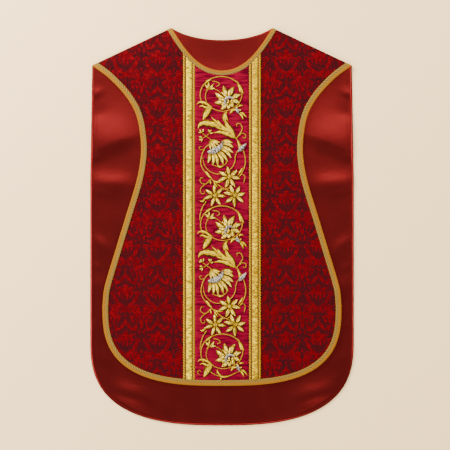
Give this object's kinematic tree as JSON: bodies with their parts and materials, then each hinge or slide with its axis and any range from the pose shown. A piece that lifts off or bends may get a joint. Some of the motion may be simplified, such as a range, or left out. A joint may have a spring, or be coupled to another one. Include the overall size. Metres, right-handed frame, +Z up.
{
  "type": "fiddleback chasuble",
  "caption": "Fiddleback chasuble laid flat, front up: wide satin-lined back, scooped damask front with gold galloon and an embroidered orphrey.",
  "frame": {"origin": "middle of the flat underside, under the centre of the garment's box", "axes": "+X across the garment to the viewer's right, +Y from the hem to the neck, +Z up from the surface it lies on"},
  "size_m": [0.7, 1.056, 0.0108],
  "materials": {
    "shell_damask": "matt dark ground with a brighter crimson woven figure",
    "satin_lining": "lustrous dark red satin",
    "galloon": "flat woven metallic gold braid",
    "orphrey_silk": "crimson silk with fine cross puckers",
    "gold_braid": "padded metallic gold braid between two cords",
    "gold_embroidery": "raised satin-stitch gold thread with silver-grey centres"
  },
  "bodies": {
    "root": {"back_panel": "shell_damask", "back_lining": "satin_lining", "front_panel": "shell_damask", "edge_galloon": "galloon", "neck_galloon": "galloon", "orphrey_silk": "orphrey_silk", "orphrey_braid_left": "gold_braid", "orphrey_braid_right": "gold_braid"}
  },
  "joints": []
}
